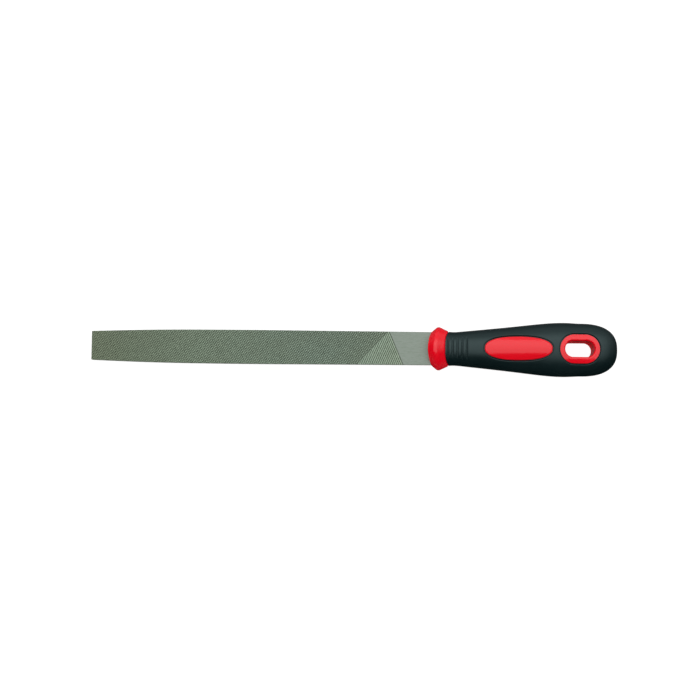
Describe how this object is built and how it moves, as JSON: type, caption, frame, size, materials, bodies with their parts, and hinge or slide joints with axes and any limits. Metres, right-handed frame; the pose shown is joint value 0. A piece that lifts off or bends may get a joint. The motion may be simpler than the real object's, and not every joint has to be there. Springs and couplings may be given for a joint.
{
  "type": "flat file",
  "caption": "Flat metalworking file: tapered double-cut steel blade with a plain heel, driven into a red and black two-shot plastic handle with a collar, thumb pads and a hanging slot.",
  "frame": {"origin": "centre of the bounding box of the whole file, on the mid-planes of the blade's width and thickness", "axes": "+X along the file from the blade's point to the butt of the handle, +Z square to the blade's wide faces, +Y across the blade's width"},
  "size_m": [0.3054, 0.0312, 0.0246],
  "materials": {
    "file_steel": "toothed and ground, unplated hardened steel with a thin film of oil",
    "red_plastic": "semi-gloss moulded hard plastic",
    "black_soft_plastic": "matt soft-touch overmould"
  },
  "bodies": {
    "root": {"file_blade": "file_steel", "handle_core": "red_plastic", "handle_grip": "black_soft_plastic"}
  },
  "joints": []
}
